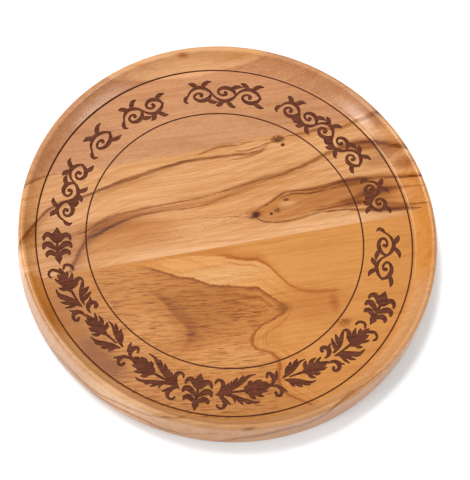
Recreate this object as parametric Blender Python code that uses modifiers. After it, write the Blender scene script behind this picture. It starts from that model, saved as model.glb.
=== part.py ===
"""Paten plate: a shallow round bread plate turned from two edge-glued olive wood boards.

The origin is the middle of the underside, +Z is up, and -Y is the front, where the middle
flower of the engraved border sits. All lengths are in metres.
"""

import math

import bmesh
import bpy
from mathutils import Matrix, Vector

# Driving dimensions
PLATE_RADIUS = 0.127
PLATE_HEIGHT = 0.0254
FIELD_HEIGHT = 0.0134  # the flat upper face, above the underside
FOOT_ROUNDING = 0.004  # where the side meets the underside
LIP_ROUNDING = 0.002  # over the top of the rim
FILLET = 0.0015  # where the field turns up into the rim
COVE_START = 44  # slope of the hollow inner face of the rim at its foot, in degrees
COVE_END = 70  # and where it rolls over the lip

RING_RADII = (0.08475, 0.115)  # the two engraved circles
RING_CENTRE = (-0.0014, 0.0001)  # the engraving was set down a little off the turned centre
RING_WIDTH = 0.0007
RING_DEPTH = 0.00035

SEAM_ANGLE = math.radians(22.7)  # direction of the glue line, from +X
SEAM_OFFSET = -0.0045  # distance of the glue line from the turned centre, towards the front
GLUE_THICKNESS = 0.0002
CLEARANCE = 0.0001  # between the glue film and each board
GLUE_INSET = 0.0001  # the scraped film lies this far below the wood's surface

TURN_STEPS = 96
ARC_STEPS = 6

HONEY_WOOD = (0.66, 0.33, 0.13, 1)
PINKISH_WOOD = (0.58, 0.30, 0.15, 1)
DRIED_GLUE = (0.36, 0.18, 0.07, 1)


def clear_scene():
    for item in list(bpy.data.objects):
        bpy.data.objects.remove(item, do_unlink=True)


def new_collection(name):
    collection = bpy.data.collections.new(name)
    bpy.context.scene.collection.children.link(collection)
    return collection


def wood_material(name, colour, roughness):
    material = bpy.data.materials.new(name)
    material.use_nodes = True
    material.diffuse_color = colour
    shader = material.node_tree.nodes["Principled BSDF"]
    shader.inputs["Base Color"].default_value = colour
    shader.inputs["Roughness"].default_value = roughness
    shader.inputs["Metallic"].default_value = 0.0
    return material


def arc(centre, radius, start, end, steps=ARC_STEPS):
    """Points on an arc in the profile's plane, from one angle to another, in degrees."""
    points = []
    for step in range(steps + 1):
        angle = math.radians(start + (end - start) * step / steps)
        points.append((centre[0] + radius * math.cos(angle), centre[1] + radius * math.sin(angle)))
    return points


def slope_vector(slope):
    """Sine and cosine of a slope in degrees."""
    return math.sin(math.radians(slope)), math.cos(math.radians(slope))


def plate_profile(inset=0.0):
    """The turned section as (radius, height), from the middle of the field out and down to the base."""
    foot_sine, foot_cosine = slope_vector(COVE_START)
    top_sine, top_cosine = slope_vector(COVE_END)
    lip_centre = (PLATE_RADIUS - LIP_ROUNDING, PLATE_HEIGHT - LIP_ROUNDING)
    cove_top = (lip_centre[0] - LIP_ROUNDING * top_sine, lip_centre[1] + LIP_ROUNDING * top_cosine)
    cove_foot_height = FIELD_HEIGHT + FILLET * (1 - foot_cosine)
    cove_radius = (cove_top[1] - cove_foot_height) / (foot_cosine - top_cosine)
    cove_centre = (cove_top[0] - cove_radius * top_sine, cove_top[1] + cove_radius * top_cosine)
    fillet_centre = (cove_centre[0] + (cove_radius - FILLET) * foot_sine, FIELD_HEIGHT + FILLET)
    side_centre = (PLATE_RADIUS - FOOT_ROUNDING, FOOT_ROUNDING)
    fillet = arc(fillet_centre, FILLET + inset, -90, COVE_START - 90, ARC_STEPS // 2)
    cove = arc(cove_centre, cove_radius + inset, COVE_START - 90, COVE_END - 90)
    lip = arc(lip_centre, LIP_ROUNDING - inset, COVE_END + 90, 0, 2 * ARC_STEPS)
    side = arc(side_centre, FOOT_ROUNDING - inset, 0, -90)
    return [(0, FIELD_HEIGHT - inset)] + fillet + cove[1:] + lip[1:] + side + [(0, inset)]


def turned(name, profile, collection, closed=False, centre=(0, 0)):
    """A Screw modifier turns the section about the vertical through centre."""
    mesh = bpy.data.meshes.new(name)
    edges = [(i, i + 1) for i in range(len(profile) - 1)]
    if closed:
        edges.append((len(profile) - 1, 0))
    mesh.from_pydata([(radius, 0, height) for radius, height in profile], edges, [])
    item = bpy.data.objects.new(name, mesh)
    item.location = (centre[0], centre[1], 0)
    collection.objects.link(item)
    screw = item.modifiers.new("turn", "SCREW")
    screw.steps = TURN_STEPS
    screw.render_steps = TURN_STEPS
    screw.use_merge_vertices = True
    screw.merge_threshold = 0.00001
    screw.use_smooth_shade = True
    return item


def as_cutter(item):
    item.hide_render = True
    item.display_type = "WIRE"
    return item


def seam_frame():
    """The vertical plane of the glue line: X along it, Y square to it towards the rear board."""
    along = Matrix.Rotation(SEAM_ANGLE, 4, "Z")
    return along @ Matrix.Translation(Vector((0, SEAM_OFFSET, 0)))


def slab(name, near, far, collection):
    """A box between two planes parallel to the glue line, larger than the plate every other way."""
    mesh = bpy.data.meshes.new(name)
    shape = bmesh.new()
    bmesh.ops.create_cube(shape, size=1)
    reach = 3 * PLATE_RADIUS
    size = Matrix.Diagonal((reach, far - near, reach, 1))
    place = Matrix.Translation((0, (near + far) / 2, 0))
    bmesh.ops.transform(shape, matrix=seam_frame() @ place @ size, verts=shape.verts)
    shape.to_mesh(mesh)
    shape.free()
    item = bpy.data.objects.new(name, mesh)
    collection.objects.link(item)
    return as_cutter(item)


def ring_cutter(index, radius, collection):
    """A V-section ring that cuts one engraved circle."""
    half = RING_WIDTH / 2
    top = FIELD_HEIGHT + RING_DEPTH
    section = [(radius - 2 * half, top), (radius + 2 * half, top), (radius, FIELD_HEIGHT - RING_DEPTH)]
    cutter = turned(f"ring_cutter_{index}", section, collection, closed=True, centre=RING_CENTRE)
    return as_cutter(cutter)


def boolean(item, cutter, operation):
    change = item.modifiers.new(cutter.name, "BOOLEAN")
    change.operation = operation
    change.solver = "EXACT"
    change.object = cutter


def make_board(name, keep, rings, material, parts):
    board = turned(name, plate_profile(), parts)
    boolean(board, keep, "INTERSECT")
    for ring in rings:
        boolean(board, ring, "DIFFERENCE")
    board.data.materials.append(material)
    return board


def make_glue_line(keep, rings, material, parts):
    film = turned("glue_line", plate_profile(GLUE_INSET), parts)
    boolean(film, keep, "INTERSECT")
    for ring in rings:
        boolean(film, ring, "DIFFERENCE")
    film.data.materials.append(material)
    return film


def main():
    clear_scene()
    parts = new_collection("paten_plate")
    cutters = new_collection("cutters")
    rings = [ring_cutter(index, radius, cutters) for index, radius in enumerate(RING_RADII)]
    half_glue = GLUE_THICKNESS / 2
    half_gap = half_glue + CLEARANCE
    reach = 2 * PLATE_RADIUS
    rear_side = slab("rear_side", half_gap, reach, cutters)
    front_side = slab("front_side", -reach, -half_gap, cutters)
    film_slab = slab("film_slab", -half_glue, half_glue, cutters)
    make_board("rear_board", rear_side, rings, wood_material("figured_olive", PINKISH_WOOD, 0.32), parts)
    make_board("front_board", front_side, rings, wood_material("honey_olive", HONEY_WOOD, 0.32), parts)
    make_glue_line(film_slab, rings, wood_material("dried_glue", DRIED_GLUE, 0.45), parts)


main()
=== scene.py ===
"""Looks for the paten plate: two figured olive wood boards, a glue line, a burnt engraved border.

Lengths are in metres. Figure and engraving are laid out in millimetres, which MM turns into metres.
The border is drawn in (along, radius): along is an arc length at BORDER_RADIUS, from the middle
flower, and radius is from the centre of the engraving. The wood figure is drawn in (grain, across):
grain runs with the fibres from the plate's left to its right, and across runs towards the rear.
"""

import math

import bmesh
import bpy
from mathutils import Matrix, Vector
from mathutils.geometry import delaunay_2d_cdt


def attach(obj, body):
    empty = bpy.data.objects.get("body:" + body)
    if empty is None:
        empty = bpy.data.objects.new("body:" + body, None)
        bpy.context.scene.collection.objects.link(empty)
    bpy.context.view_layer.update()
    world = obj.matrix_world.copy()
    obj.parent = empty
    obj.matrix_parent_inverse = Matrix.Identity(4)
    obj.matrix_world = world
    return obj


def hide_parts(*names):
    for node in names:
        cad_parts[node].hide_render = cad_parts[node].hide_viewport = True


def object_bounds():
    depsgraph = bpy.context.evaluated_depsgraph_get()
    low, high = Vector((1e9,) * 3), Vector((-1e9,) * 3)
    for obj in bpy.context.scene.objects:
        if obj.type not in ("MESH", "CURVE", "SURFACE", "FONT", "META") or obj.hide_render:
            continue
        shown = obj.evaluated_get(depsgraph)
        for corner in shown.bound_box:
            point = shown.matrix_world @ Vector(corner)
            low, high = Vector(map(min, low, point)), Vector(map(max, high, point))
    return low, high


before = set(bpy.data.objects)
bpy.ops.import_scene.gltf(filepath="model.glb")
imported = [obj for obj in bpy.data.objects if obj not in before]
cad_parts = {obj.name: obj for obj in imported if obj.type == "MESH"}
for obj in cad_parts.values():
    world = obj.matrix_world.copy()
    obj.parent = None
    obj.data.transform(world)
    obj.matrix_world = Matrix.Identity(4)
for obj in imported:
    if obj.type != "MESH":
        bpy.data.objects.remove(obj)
CAD_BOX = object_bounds()

MM = 0.001
PER_METRE = 1000

# Turned shape
PLATE_RADIUS = CAD_BOX[1].x
PLATE_HEIGHT = CAD_BOX[1].z
FIELD_HEIGHT = 0.0134
FOOT_ROUNDING = 0.004
LIP_ROUNDING = 0.002
FILLET = 0.0015  # where the field turns up into the rim
COVE_START = 44  # slope of the hollow inner face of the rim at its foot, in degrees
COVE_END = 70  # and where it rolls over the lip
TURN_STEPS = 360
ARC_STEPS = 16
MERGE_DISTANCE = 0.000001
SHARP_ANGLE = math.radians(30)

# Glue line
SEAM_ANGLE = math.radians(22.7)
SEAM_OFFSET = -0.0045
GLUE_THICKNESS = 0.00006
CUT_TOLERANCE = 0.0000001

# Engraving
RING_CENTRE = Vector((-0.0014, 0.0001))
RING_RADII = (0.08475, 0.115)
RING_WIDTH = 0.00095
RING_DEPTH = 0.00045
# The groove's section, as (shares of its width, shares of its depth)
RING_SECTION = ((-1, 2), (-0.5, 0), (-0.3, -0.85), (0, -1), (0.3, -0.85), (0.5, 0), (1, 2))
ENGRAVING_DEPTH = 0.00045
BORDER_RADIUS = 100
BORDER_MIDDLE = math.radians(-90)
SAMPLES_PER_SPAN = 5
CAP_POINTS = 10
BURN_SPREAD = 0.28  # how much wider the burn is than the pen stroke, in millimetres
FLAT_ANGLE = math.radians(1)  # faces closer than this are merged

# Wood
GRAIN_ANGLE = math.radians(20.9)
GRAIN_SLANT = (0.19, 0.42)  # how far the figure shifts along and across the grain for each unit of height

# Camera, light and floor
CAMERA_AZIMUTH = math.radians(-3.6)
CAMERA_ELEVATION = math.radians(65.11)
CAMERA_ROLL = math.radians(14.32)
CAMERA_DISTANCE = 1.472
CAMERA_AIM = (0.00574, -0.00114)  # right of and above the centre of the engraving
SENSOR_WIDTH = 36
LENS = 5.05 * SENSOR_WIDTH
SKY_COLOUR = (0.86, 0.95, 1, 1)
SKY_STRENGTH = 0.70
LIGHTS = (  # name, place, aim, size, power
    ("key", (-0.52, 0.38, 1.8), (0, 0, 0), 0.55, 28),
    ("right_fill", (1.4, -0.35, 0.35), (0, 0, 0.02), 0.55, 9),
    ("left_fill", (-1.0, -0.9, 0.34), (0, 0, 0.02), 0.34, 10),
)
PAPER_WHITE = (0.97, 0.97, 0.97, 1)
FLOOR_REACH = 3


# Camera, light and floor

def add_camera():
    centre = Vector((RING_CENTRE.x, RING_CENTRE.y, FIELD_HEIGHT))
    back = Vector((
        math.sin(CAMERA_AZIMUTH) * math.cos(CAMERA_ELEVATION),
        -math.cos(CAMERA_AZIMUTH) * math.cos(CAMERA_ELEVATION),
        math.sin(CAMERA_ELEVATION),
    ))
    level = Vector((math.cos(CAMERA_AZIMUTH), math.sin(CAMERA_AZIMUTH), 0))
    upright = back.cross(level)
    right = level * math.cos(CAMERA_ROLL) + upright * math.sin(CAMERA_ROLL)
    up = upright * math.cos(CAMERA_ROLL) - level * math.sin(CAMERA_ROLL)
    place = centre + back * CAMERA_DISTANCE
    aim = centre + right * CAMERA_AIM[0] + up * CAMERA_AIM[1]
    away = (place - aim).normalized()
    side = (right - away * right.dot(away)).normalized()
    turn = Matrix((side, away.cross(side), away)).transposed().to_4x4()
    data = bpy.data.cameras.new("camera")
    data.sensor_width = SENSOR_WIDTH
    data.lens = LENS
    camera = bpy.data.objects.new("camera", data)
    camera.matrix_world = Matrix.Translation(place) @ turn
    bpy.context.scene.collection.objects.link(camera)
    bpy.context.scene.camera = camera


def add_area_light(name, place, aim, size, power):
    data = bpy.data.lights.new(name, "AREA")
    data.shape = "SQUARE"
    data.size = size
    data.energy = power
    light = bpy.data.objects.new(name, data)
    light.location = place
    light.rotation_euler = (Vector(aim) - Vector(place)).to_track_quat("-Z", "Y").to_euler()
    bpy.context.scene.collection.objects.link(light)


def add_studio():
    world = bpy.data.worlds.new("studio")
    world.use_nodes = True
    background = world.node_tree.nodes["Background"]
    background.inputs["Color"].default_value = SKY_COLOUR
    background.inputs["Strength"].default_value = SKY_STRENGTH
    bpy.context.scene.world = world
    bpy.context.scene.view_settings.view_transform = "Standard"
    for light in LIGHTS:
        add_area_light(*light)


def add_floor():
    shape = bmesh.new()
    bmesh.ops.create_grid(shape, x_segments=1, y_segments=1, size=FLOOR_REACH)
    floor = object_from(shape, "floor")
    material, _, shader = new_material("white_paper")
    shader.inputs["Base Color"].default_value = PAPER_WHITE
    shader.inputs["Roughness"].default_value = 1
    shader.inputs["Specular IOR Level"].default_value = 0
    floor.data.materials.append(material)


def object_from(shape, name):
    """Puts a bmesh into the scene as an object, and frees it."""
    mesh = bpy.data.meshes.new(name)
    shape.to_mesh(mesh)
    shape.free()
    return linked(name, mesh)


def linked(name, mesh):
    item = bpy.data.objects.new(name, mesh)
    bpy.context.scene.collection.objects.link(item)
    return item


# Turned shape

def arc(centre, radius, start, end, steps=ARC_STEPS):
    """Points on an arc in the profile's plane, from one angle to another, in degrees."""
    points = []
    for step in range(steps + 1):
        angle = math.radians(start + (end - start) * step / steps)
        points.append((centre[0] + radius * math.cos(angle), centre[1] + radius * math.sin(angle)))
    return points


def slope_vector(slope):
    """Sine and cosine of a slope in degrees."""
    return math.sin(math.radians(slope)), math.cos(math.radians(slope))


def plate_profile():
    """The turned section as (radius, height), from the middle of the field out and down to the base."""
    foot_sine, foot_cosine = slope_vector(COVE_START)
    top_sine, top_cosine = slope_vector(COVE_END)
    lip_centre = (PLATE_RADIUS - LIP_ROUNDING, PLATE_HEIGHT - LIP_ROUNDING)
    cove_top = (lip_centre[0] - LIP_ROUNDING * top_sine, lip_centre[1] + LIP_ROUNDING * top_cosine)
    cove_foot_height = FIELD_HEIGHT + FILLET * (1 - foot_cosine)
    cove_radius = (cove_top[1] - cove_foot_height) / (foot_cosine - top_cosine)
    cove_centre = (cove_top[0] - cove_radius * top_sine, cove_top[1] + cove_radius * top_cosine)
    fillet_centre = (cove_centre[0] + (cove_radius - FILLET) * foot_sine, FIELD_HEIGHT + FILLET)
    side_centre = (PLATE_RADIUS - FOOT_ROUNDING, FOOT_ROUNDING)
    fillet = arc(fillet_centre, FILLET, -90, COVE_START - 90, ARC_STEPS // 2)
    cove = arc(cove_centre, cove_radius, COVE_START - 90, COVE_END - 90)
    lip = arc(lip_centre, LIP_ROUNDING, COVE_END + 90, 0, 2 * ARC_STEPS)
    side = arc(side_centre, FOOT_ROUNDING, 0, -90)
    return [(0, FIELD_HEIGHT)] + fillet + cove[1:] + lip[1:] + side + [(0, 0)]


PROFILE = plate_profile()


def surface_height(radius):
    """Height of the upper surface at a distance from the turned centre, as far as the lip."""
    for (inner, low), (outer, high) in zip(PROFILE, PROFILE[1:]):
        if inner <= radius <= outer:
            return low + (high - low) * (radius - inner) / (outer - inner)
    return FIELD_HEIGHT


def turned_mesh(name):
    """The whole turned body as a mesh."""
    mesh = bpy.data.meshes.new(name)
    edges = [(index, index + 1) for index in range(len(PROFILE) - 1)]
    mesh.from_pydata([(radius, 0, height) for radius, height in PROFILE], edges, [])
    item = linked(name, mesh)
    screw = item.modifiers.new("turn", "SCREW")
    screw.steps = TURN_STEPS
    screw.render_steps = TURN_STEPS
    screw.use_merge_vertices = True
    screw.merge_threshold = MERGE_DISTANCE
    screw.use_smooth_shade = True
    turned = evaluated_mesh(item)
    bpy.data.objects.remove(item)
    return turned


def evaluated_mesh(item):
    depsgraph = bpy.context.evaluated_depsgraph_get()
    return bpy.data.meshes.new_from_object(item.evaluated_get(depsgraph), depsgraph=depsgraph)


def cut_away(mesh, keep_side, distance):
    """Cuts a mesh parallel to the glue line, at a distance from it, and closes the cut."""
    across = Vector((-math.sin(SEAM_ANGLE), math.cos(SEAM_ANGLE), 0))
    outward = across * -keep_side
    shape = bmesh.new()
    shape.from_mesh(mesh)
    cut = bmesh.ops.bisect_plane(
        shape,
        geom=shape.verts[:] + shape.edges[:] + shape.faces[:],
        dist=CUT_TOLERANCE,
        plane_co=across * (SEAM_OFFSET + keep_side * distance),
        plane_no=outward,
        clear_outer=True,
    )
    rim = [item for item in cut["geom_cut"] if isinstance(item, bmesh.types.BMEdge)]
    closed = bmesh.ops.triangle_fill(shape, edges=rim, use_beauty=True, normal=outward)
    for face in closed["geom"]:
        if isinstance(face, bmesh.types.BMFace):
            face.smooth = False
    bmesh.ops.recalc_face_normals(shape, faces=shape.faces)
    shape.to_mesh(mesh)
    shape.free()


# Engraving

def border_point(along, radius):
    """A point of the border on the plate, in metres."""
    angle = BORDER_MIDDLE + along / BORDER_RADIUS
    return RING_CENTRE + Vector((math.cos(angle), math.sin(angle))) * radius * MM


def spline_value(values, place):
    """A smooth curve through a list of values, read at a place counted in values."""
    index = min(int(place), len(values) - 2)
    t = place - index
    before = values[max(index - 1, 0)]
    start = values[index]
    end = values[index + 1]
    after = values[min(index + 2, len(values) - 1)]
    return 0.5 * (
        2 * start
        + (end - before) * t
        + (2 * before - 5 * start + 4 * end - after) * t * t
        + (3 * start - before - 3 * end + after) * t * t * t
    )


class Engraving:
    """Flat outlines that are burnt into the field: strokes with round ends, which may overlap."""

    def __init__(self):
        self.points = []
        self.faces = []

    def polygon(self, points):
        first = len(self.points)
        self.points.extend(points)
        self.faces.append(list(range(first, first + len(points))))

    def disc(self, centre, radius):
        turn = 2 * math.pi / CAP_POINTS
        self.polygon([
            centre + Vector((math.cos(turn * step), math.sin(turn * step))) * radius
            for step in range(CAP_POINTS)
        ])

    def stroke(self, nodes, place=border_point):
        """A tapering pen stroke through (along, radius, width) nodes."""
        count = (len(nodes) - 1) * SAMPLES_PER_SPAN
        places = [index / SAMPLES_PER_SPAN for index in range(count + 1)]
        columns = list(zip(*nodes))
        centres = [place(spline_value(columns[0], t), spline_value(columns[1], t)) for t in places]
        halves = [(max(spline_value(columns[2], t), 0) + BURN_SPREAD) / 2 * MM for t in places]
        left = []
        right = []
        for index, centre in enumerate(centres):
            ahead = centres[min(index + 1, count)] - centres[max(index - 1, 0)]
            side = Vector((-ahead.y, ahead.x)).normalized() * halves[index]
            left.append(centre + side)
            right.append(centre - side)
        for index in range(count):
            self.polygon([right[index], right[index + 1], left[index + 1], left[index]])
        self.disc(centres[0], halves[0])
        self.disc(centres[-1], halves[-1])

    def mirrored_stroke(self, nodes):
        self.stroke(nodes)
        self.stroke([(-along, radius, width) for along, radius, width in nodes])


# The leaf sprays of one half of the border; each stroke is a list of (along, radius, width)
FIRST_CURLS = [
    [(10.8, 102, 0.4), (12.5, 101.4, 2), (15.5, 100.8, 2.4)],
    [(13, 101.6, 2), (15.3, 104.4, 2.6), (16.2, 107, 2.6), (15.3, 109.5, 1.7), (13.6, 110.2, 1.3),
     (12.2, 109.4, 1.2), (11.8, 108.4, 1.3)],
    [(15.8, 104.6, 2.4), (17.5, 106, 1.9), (19.4, 107.4, 0.4)],
    [(12.8, 101, 1.8), (14.2, 98.5, 2.2), (15.1, 96, 2.6), (14.5, 93.4, 2.2), (12.4, 92.4, 1.6),
     (10.7, 93.3, 1.4), (10.1, 94.9, 0.8)],
    [(15.4, 99.6, 2), (16.8, 97, 2.6), (18.6, 94.2, 0.6)],
]
FIRST_SPRAY = [
    [(15.5, 101, 1.4), (20, 101.9, 2), (24.5, 103.7, 2.2), (28.5, 105.4, 2), (32, 106.8, 1.3),
     (35.8, 106.9, 0.4)],
    [(20.8, 102.4, 2), (21.7, 104.5, 1.5), (21.7, 106.3, 0.4)],
    [(23.4, 103.8, 2.4), (24.9, 105.8, 1.9), (26.1, 107.4, 0.7)],
    [(27.4, 105, 2.2), (28.6, 106.5, 1.7), (29.8, 107.6, 0.6)],
    [(31, 106.2, 1.4), (33, 107.3, 1.1), (35, 107.4, 0.4)],
    [(15.5, 100.4, 1.2), (19, 98.6, 1.7), (23, 96.1, 2), (27, 93.5, 2), (30.5, 91.1, 1.6), (33.5, 89.8, 1),
     (36.7, 89.7, 0.4)],
    [(18.4, 98.2, 1.8), (19.8, 95.6, 1.7), (20.2, 92.9, 0.5)],
    [(21.6, 96.2, 2.8), (22.8, 93.4, 2.8), (24.1, 91, 0.9)],
    [(25.6, 94.2, 2.8), (27, 91.9, 2.5), (28.4, 90, 0.9)],
    [(29, 92, 2), (30.6, 90.6, 1.5), (32.2, 89.5, 0.5)],
    [(16, 100.6, 1), (22, 99.6, 1.2), (30, 98.8, 1.6)],
    [(30.6, 98.6, 6), (33, 98.7, 8.4), (36.5, 98.4, 8), (40, 98, 5.6), (42.6, 98, 3), (45, 98.3, 1.4)],
    [(31.4, 100.5, 2.8), (31.6, 103, 2.2), (33.4, 104.2, 1.2)],
    [(34.6, 101.5, 2.6), (36.4, 103, 2), (38.4, 103.8, 0.6)],
    [(38, 100, 2.4), (39.6, 101, 1.6), (41.4, 101.3, 0.5)],
    [(31.4, 96.4, 2.8), (31.8, 94.6, 2.2), (33, 93.6, 1)],
    [(34.8, 95.8, 2.6), (36.8, 94.4, 2.4), (39, 94.2, 1.4)],
    [(38.6, 96.4, 2.4), (41, 95.8, 1.8), (42.6, 96.2, 0.8)],
]
SECOND_CURLS = [
    [(45.9, 103.4, 1.9), (46.1, 105, 1.5), (47.8, 105.6, 1.7), (49.3, 104, 2.1), (49.4, 101.6, 2.2),
     (48, 99.6, 1.8), (45, 98.6, 1.2)],
    [(49.8, 101.6, 2), (51.1, 103, 1.5), (52.3, 104.3, 0.7)],
    [(44.5, 97.9, 1), (46.6, 96.4, 2.1), (47.6, 94, 3), (46.6, 91.6, 2.5), (44.9, 90.6, 1.8),
     (43.7, 91.7, 1.3), (43.4, 93.2, 0.8)],
    [(48.4, 95, 2.4), (49.8, 92.8, 1.9), (50.8, 90.4, 0.6)],
]
SECOND_SPRAY = [
    [(53.8, 97.2, 0.6), (57, 99, 2.8), (61, 101.3, 3.6), (65, 103.7, 2.4), (68, 104.9, 1.2),
     (70.4, 105.1, 0.4)],
    [(56.6, 99.6, 2.2), (57.1, 101.6, 1.6), (57.6, 103.2, 0.5)],
    [(59.4, 101.4, 2.8), (60.6, 103.6, 2), (61.8, 104.9, 0.6)],
    [(63.2, 103, 2.4), (64.8, 104.8, 1.6), (66.2, 105.9, 0.5)],
    [(52.8, 95.7, 0.5), (56, 94.7, 1.9), (60, 93.5, 2.2), (64, 92, 1.9), (68, 90.4, 1.2),
     (71.8, 90.5, 0.4)],
    [(56.6, 93.8, 2.6), (57.8, 91.6, 2.4), (58.6, 90, 0.9)],
    [(58.8, 92.8, 2.8), (60.4, 90.6, 2.8), (61.8, 88.5, 1)],
    [(62.2, 92, 2.2), (64.6, 90, 2.3), (67, 88.5, 0.9)],
    [(57.6, 96.4, 0.6), (62, 96.6, 1.1), (68, 97.2, 1.6)],
    [(68, 97.2, 3.4), (71, 97.8, 6.6), (75, 98.2, 6.2), (79, 98.7, 4.2), (81.5, 99, 2.2),
     (83.6, 99.2, 0.4)],
    [(69.4, 99.6, 3), (69.4, 101.8, 2.2), (71, 103.2, 0.9)],
    [(72, 100.2, 2.8), (73.4, 102, 2), (75.2, 102.4, 0.7)],
    [(75.8, 100, 2.4), (78, 101.3, 1.6), (80.4, 101.5, 0.6)],
    [(69.6, 95.6, 3), (70, 93.4, 2.6), (71.4, 92, 0.9)],
    [(72.6, 95.8, 3), (74.8, 93.6, 2.4), (78.2, 93.2, 0.8)],
    [(76.4, 96.4, 2.4), (78.8, 95.2, 1.6), (81.4, 94.4, 0.6)],
]
THIRD_CURLS = [
    [(83.6, 104.2, 1.7), (82.7, 105.5, 1.5), (83.8, 106.8, 1.7), (86, 106.5, 2.1), (87.2, 104.6, 2.5),
     (87, 102.3, 2.3), (85.4, 100.7, 1.7), (82.8, 100.2, 0.5)],
    [(87.8, 103, 1.8), (88.6, 105.1, 1.3), (89.9, 106.5, 0.5)],
    [(83, 96.4, 0.5), (85.5, 96.4, 1.7), (88, 95, 2.8), (88.8, 92.8, 2.8), (87.6, 90.9, 2.3),
     (85.6, 90.6, 2.2), (84.8, 91.8, 2.2)],
    [(89, 94, 2.2), (90.6, 92.4, 1.6), (92.5, 91.6, 0.5)],
]
THIRD_SPRAY = [
    [(89.2, 98.9, 0.8), (92.5, 100.5, 3), (95, 102.8, 3.8), (98.5, 105.9, 2.8), (101.5, 108.4, 1.7),
     (104.3, 108.6, 0.6)],
    [(92, 102, 2.2), (91.9, 105, 1.7), (92.4, 107.9, 0.5)],
    [(94, 103.6, 2.6), (95, 106.6, 1.9), (96.4, 108.9, 0.6)],
    [(97.6, 105.8, 2.2), (98.8, 107.8, 1.5), (100.6, 109.1, 0.5)],
    [(89.8, 97, 0.8), (94, 96.5, 2.3), (98, 95.2, 2.5), (101.5, 93.2, 2.3), (104.6, 91.8, 1.4)],
    [(93, 95.6, 2.6), (94.2, 92.6, 2.3), (95.6, 89.9, 0.7)],
    [(97, 94.4, 2.8), (98.2, 92.2, 2.5), (99.6, 90, 1)],
    [(93, 99.3, 0.7), (97, 99.9, 1.2), (102, 100.4, 1.6)],
    [(101.8, 100.9, 3), (105, 101.6, 6), (109, 101.8, 5.2), (113, 102.2, 3.4), (116.4, 103, 0.8)],
    [(103.4, 103, 3), (103.4, 104.8, 2.2), (104.6, 106.4, 0.9)],
    [(106.4, 103.4, 2.4), (108.4, 105.6, 1.9), (110.3, 107.2, 0.8)],
    [(109.2, 103.4, 2.6), (111, 104.6, 1.8), (112.8, 105, 0.7)],
    [(103.6, 99.4, 3.6), (104.4, 96.8, 3.2), (106.6, 95, 2.8), (107.2, 93, 2.2), (105.8, 91.6, 1.2)],
    [(106.8, 99, 3.2), (109, 97.4, 2.3), (111.6, 96.5, 0.8)],
    [(110, 101, 2.8), (111.4, 99.8, 2.2), (113.2, 99.2, 1)],
    [(114, 103, 1.6), (115.6, 105.4, 1.9), (116.3, 107.6, 1.6), (115.2, 109.6, 1.4), (113.5, 110.2, 1.3),
     (112, 109.4, 1)],
    [(115.6, 100.8, 1), (117.7, 99.6, 1.6), (117.8, 97.4, 1.6), (116.4, 95.6, 1.5), (114.2, 95.1, 1.1)],
]

# Strokes of a flower as (from its tail, from its axis, width)
FLOWER_AXIS = [
    [(0, 0, 0.3), (1.8, 0, 2.2), (3.8, 0, 4.2), (5.4, 0, 2.8), (7.5, 0, 1.7)],
    [(7, 0, 1.8), (11, 0, 1.6), (15, 0, 1.8)],
    [(13.6, 0, 1.7), (15, 0, 4.2), (16.8, 0, 7.6), (18.6, 0, 7.2), (20.4, 0, 4.4), (22, 0, 2.2),
     (23.5, 0, 0.3)],
]
FLOWER_SIDE = [
    [(5.2, 0.6, 1.6), (6.8, 2.4, 2.8), (7.8, 4.6, 3.4), (6.9, 6.4, 2.6), (5.7, 6.7, 1.3)],
    [(9, 0.6, 1.4), (11.2, 2.8, 3), (12.9, 5.2, 3.7), (12.5, 7.5, 3.1), (10.6, 8.3, 1.5)],
    [(15.2, 1.4, 2.8), (18.2, 3.8, 3), (19, 5.9, 2.9), (17.5, 7.6, 2.2), (15.6, 8, 1.1)],
]
MIDDLE_FLOWER_TAIL = 113.5  # radius of the upright flower's tail
END_FLOWER_TAIL = 119.25  # arc length from the middle flower to the tails of the end ones
END_FLOWER_RADIUS = 102.2


def add_flowers(engraving):
    """An upright flower in the middle, and one at each end that points along the border."""
    def upright(tail, side):
        return border_point(side, MIDDLE_FLOWER_TAIL - tail)

    def leaning(way):
        return lambda tail, side: border_point(way * (END_FLOWER_TAIL + tail), END_FLOWER_RADIUS + side)

    for place in (upright, leaning(1), leaning(-1)):
        for nodes in FLOWER_AXIS:
            engraving.stroke(nodes, place)
        for nodes in FLOWER_SIDE:
            engraving.stroke(nodes, place)
            engraving.stroke([(tail, -side, width) for tail, side, width in nodes], place)


def add_sprays(engraving):
    for group in (FIRST_CURLS, FIRST_SPRAY, SECOND_CURLS, SECOND_SPRAY, THIRD_CURLS, THIRD_SPRAY):
        for nodes in group:
            engraving.mirrored_stroke(nodes)


# The scrolls along the rear of the border, from and to these directions in degrees
SCROLLS = (
    (185.3, 162.2), (156, 145.7), (139.1, 122.8), (113.2, 86.4), (78.7, 41.8), (35, 22.7), (14.2, -4.2),
)
SCROLL_RADIUS = 98.5
SCROLL_BEND = 14  # length of one bend of the stem
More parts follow.
